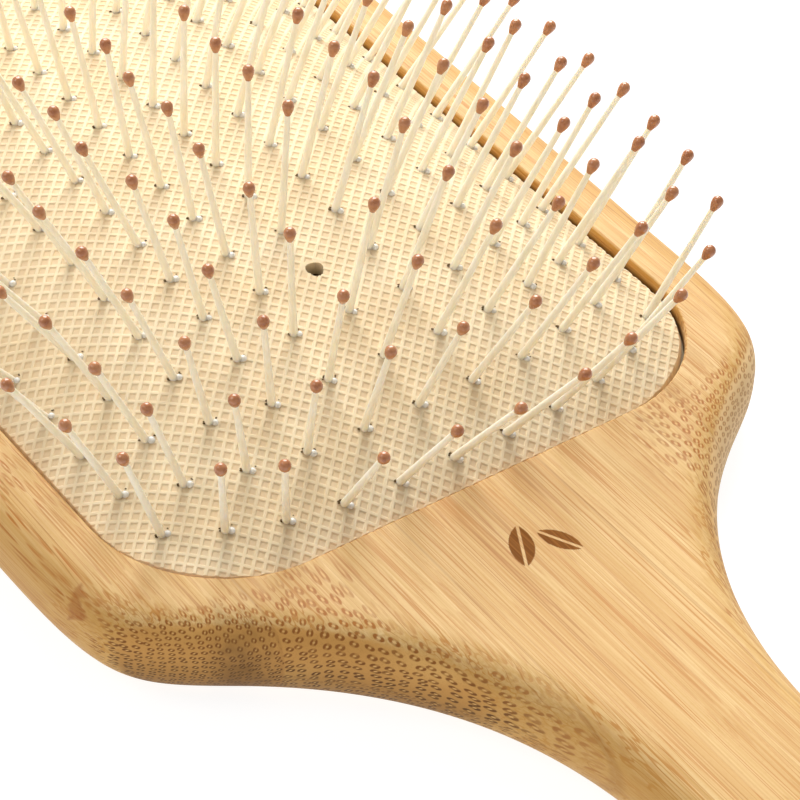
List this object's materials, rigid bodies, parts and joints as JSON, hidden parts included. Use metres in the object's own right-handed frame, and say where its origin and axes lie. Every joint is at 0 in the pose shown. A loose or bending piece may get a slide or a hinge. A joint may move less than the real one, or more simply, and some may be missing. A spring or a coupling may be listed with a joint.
{
  "type": "paddle hair brush",
  "caption": "Paddle hair brush: bamboo body, domed air-cushion rubber pad and rows of ball-tipped nylon pins that flex sideways and sink with the pad.",
  "frame": {"origin": "under the middle of the brush, on its flat back", "axes": "+Y from the handle to the head, +Z out of the pins, X across"},
  "size_m": [0.084, 0.2416, 0.0359],
  "materials": {
    "bamboo": "satin oiled laminated bamboo, grain along Y, end-grain dots on the rounded edges",
    "rubber": "matt cream natural rubber, moulded with a fine diagonal waffle",
    "nylon_pins": "semi-gloss ivory nylon with brown ball tips"
  },
  "bodies": {
    "body": {"bamboo_body": "bamboo"},
    "cushion": {"cushion_pad": "rubber"},
    "pins_left_5_front": {"pins_left_5_front": "nylon_pins"},
    "pins_left_5_rear": {"pins_left_5_rear": "nylon_pins"},
    "pins_left_4_front": {"pins_left_4_front": "nylon_pins"},
    "pins_left_4_rear": {"pins_left_4_rear": "nylon_pins"},
    "pins_left_3_front": {"pins_left_3_front": "nylon_pins"},
    "pins_left_3_rear": {"pins_left_3_rear": "nylon_pins"},
    "pins_left_2_front": {"pins_left_2_front": "nylon_pins"},
    "pins_left_2_rear": {"pins_left_2_rear": "nylon_pins"},
    "pins_left_1_front": {"pins_left_1_front": "nylon_pins"},
    "pins_left_1_rear": {"pins_left_1_rear": "nylon_pins"},
    "pins_middle_front": {"pins_middle_front": "nylon_pins"},
    "pins_middle_rear": {"pins_middle_rear": "nylon_pins"},
    "pins_right_1_front": {"pins_right_1_front": "nylon_pins"},
    "pins_right_1_rear": {"pins_right_1_rear": "nylon_pins"},
    "pins_right_2_front": {"pins_right_2_front": "nylon_pins"},
    "pins_right_2_rear": {"pins_right_2_rear": "nylon_pins"},
    "pins_right_3_front": {"pins_right_3_front": "nylon_pins"},
    "pins_right_3_rear": {"pins_right_3_rear": "nylon_pins"},
    "pins_right_4_front": {"pins_right_4_front": "nylon_pins"},
    "pins_right_4_rear": {"pins_right_4_rear": "nylon_pins"},
    "pins_right_5_front": {"pins_right_5_front": "nylon_pins"},
    "pins_right_5_rear": {"pins_right_5_rear": "nylon_pins"}
  },
  "joints": [
    {"name": "cushion_press", "type": "slide", "parent": "body", "child": "cushion", "axis": [0, 0, -1], "range_m": [0, 0.003], "stiffness_N_per_m": 4000, "deforming": ["cushion_pad"]},
    {"name": "pins_left_5_front_flex", "type": "hinge", "parent": "cushion", "child": "pins_left_5_front", "pos_m": [-0.03026, 0.0343, 0.00969], "axis": [0, 0.9996, 0.0295], "range_deg": [-9, 9], "stiffness_Nm_per_rad": 0.2},
    {"name": "pins_left_5_rear_flex", "type": "hinge", "parent": "cushion", "child": "pins_left_5_rear", "pos_m": [-0.03026, 0.08241, 0.00963], "axis": [0, 0.9994, -0.0341], "range_deg": [-9, 9], "stiffness_Nm_per_rad": 0.2},
    {"name": "pins_left_4_front_flex", "type": "hinge", "parent": "cushion", "child": "pins_left_4_front", "pos_m": [-0.02504, 0.03109, 0.01199], "axis": [0, 0.9958, 0.0914], "range_deg": [-9, 9], "stiffness_Nm_per_rad": 0.2},
    {"name": "pins_left_4_rear_flex", "type": "hinge", "parent": "cushion", "child": "pins_left_4_rear", "pos_m": [-0.02504, 0.08241, 0.01199], "axis": [0, 0.9958, -0.0914], "range_deg": [-9, 9], "stiffness_Nm_per_rad": 0.2},
    {"name": "pins_left_3_front_flex", "type": "hinge", "parent": "cushion", "child": "pins_left_3_front", "pos_m": [-0.01926, 0.03171, 0.01372], "axis": [0, 0.9916, 0.1297], "range_deg": [-9, 9], "stiffness_Nm_per_rad": 0.2},
    {"name": "pins_left_3_rear_flex", "type": "hinge", "parent": "cushion", "child": "pins_left_3_rear", "pos_m": [-0.01926, 0.08492, 0.01347], "axis": [0, 0.9891, -0.1472], "range_deg": [-9, 9], "stiffness_Nm_per_rad": 0.2},
    {"name": "pins_left_2_front_flex", "type": "hinge", "parent": "cushion", "child": "pins_left_2_front", "pos_m": [-0.01307, 0.02971, 0.01455], "axis": [0, 0.986, 0.1666], "range_deg": [-9, 9], "stiffness_Nm_per_rad": 0.2},
    {"name": "pins_left_2_rear_flex", "type": "hinge", "parent": "cushion", "child": "pins_left_2_rear", "pos_m": [-0.01307, 0.08379, 0.01455], "axis": [0, 0.986, -0.1666], "range_deg": [-9, 9], "stiffness_Nm_per_rad": 0.2},
    {"name": "pins_left_1_front_flex", "type": "hinge", "parent": "cushion", "child": "pins_left_1_front", "pos_m": [-0.00661, 0.02951, 0.01494], "axis": [0, 0.9839, 0.1789], "range_deg": [-9, 9], "stiffness_Nm_per_rad": 0.2},
    {"name": "pins_left_1_rear_flex", "type": "hinge", "parent": "cushion", "child": "pins_left_1_rear", "pos_m": [-0.00661, 0.08399, 0.01494], "axis": [0, 0.9839, -0.1789], "range_deg": [-9, 9], "stiffness_Nm_per_rad": 0.2},
    {"name": "pins_middle_front_flex", "type": "hinge", "parent": "cushion", "child": "pins_middle_front", "pos_m": [0, 0.02949, 0.01501], "axis": [0, 0.9835, 0.1809], "range_deg": [-9, 9], "stiffness_Nm_per_rad": 0.2},
    {"name": "pins_middle_rear_flex", "type": "hinge", "parent": "cushion", "child": "pins_middle_rear", "pos_m": [0, 0.08401, 0.01501], "axis": [0, 0.9835, -0.1809], "range_deg": [-9, 9], "stiffness_Nm_per_rad": 0.2},
    {"name": "pins_right_1_front_flex", "type": "hinge", "parent": "cushion", "child": "pins_right_1_front", "pos_m": [0.00661, 0.02951, 0.01494], "axis": [0, 0.9839, 0.1789], "range_deg": [-9, 9], "stiffness_Nm_per_rad": 0.2},
    {"name": "pins_right_1_rear_flex", "type": "hinge", "parent": "cushion", "child": "pins_right_1_rear", "pos_m": [0.00661, 0.08399, 0.01494], "axis": [0, 0.9839, -0.1789], "range_deg": [-9, 9], "stiffness_Nm_per_rad": 0.2},
    {"name": "pins_right_2_front_flex", "type": "hinge", "parent": "cushion", "child": "pins_right_2_front", "pos_m": [0.01307, 0.02971, 0.01455], "axis": [0, 0.986, 0.1666], "range_deg": [-9, 9], "stiffness_Nm_per_rad": 0.2},
    {"name": "pins_right_2_rear_flex", "type": "hinge", "parent": "cushion", "child": "pins_right_2_rear", "pos_m": [0.01307, 0.08379, 0.01455], "axis": [0, 0.986, -0.1666], "range_deg": [-9, 9], "stiffness_Nm_per_rad": 0.2},
    {"name": "pins_right_3_front_flex", "type": "hinge", "parent": "cushion", "child": "pins_right_3_front", "pos_m": [0.01926, 0.03171, 0.01372], "axis": [0, 0.9916, 0.1297], "range_deg": [-9, 9], "stiffness_Nm_per_rad": 0.2},
    {"name": "pins_right_3_rear_flex", "type": "hinge", "parent": "cushion", "child": "pins_right_3_rear", "pos_m": [0.01926, 0.08492, 0.01347], "axis": [0, 0.9891, -0.1472], "range_deg": [-9, 9], "stiffness_Nm_per_rad": 0.2},
    {"name": "pins_right_4_front_flex", "type": "hinge", "parent": "cushion", "child": "pins_right_4_front", "pos_m": [0.02504, 0.03109, 0.01199], "axis": [0, 0.9958, 0.0914], "range_deg": [-9, 9], "stiffness_Nm_per_rad": 0.2},
    {"name": "pins_right_4_rear_flex", "type": "hinge", "parent": "cushion", "child": "pins_right_4_rear", "pos_m": [0.02504, 0.08241, 0.01199], "axis": [0, 0.9958, -0.0914], "range_deg": [-9, 9], "stiffness_Nm_per_rad": 0.2},
    {"name": "pins_right_5_front_flex", "type": "hinge", "parent": "cushion", "child": "pins_right_5_front", "pos_m": [0.03026, 0.0343, 0.00969], "axis": [0, 0.9996, 0.0295], "range_deg": [-9, 9], "stiffness_Nm_per_rad": 0.2},
    {"name": "pins_right_5_rear_flex", "type": "hinge", "parent": "cushion", "child": "pins_right_5_rear", "pos_m": [0.03026, 0.08241, 0.00963], "axis": [0, 0.9994, -0.0341], "range_deg": [-9, 9], "stiffness_Nm_per_rad": 0.2}
  ]
}
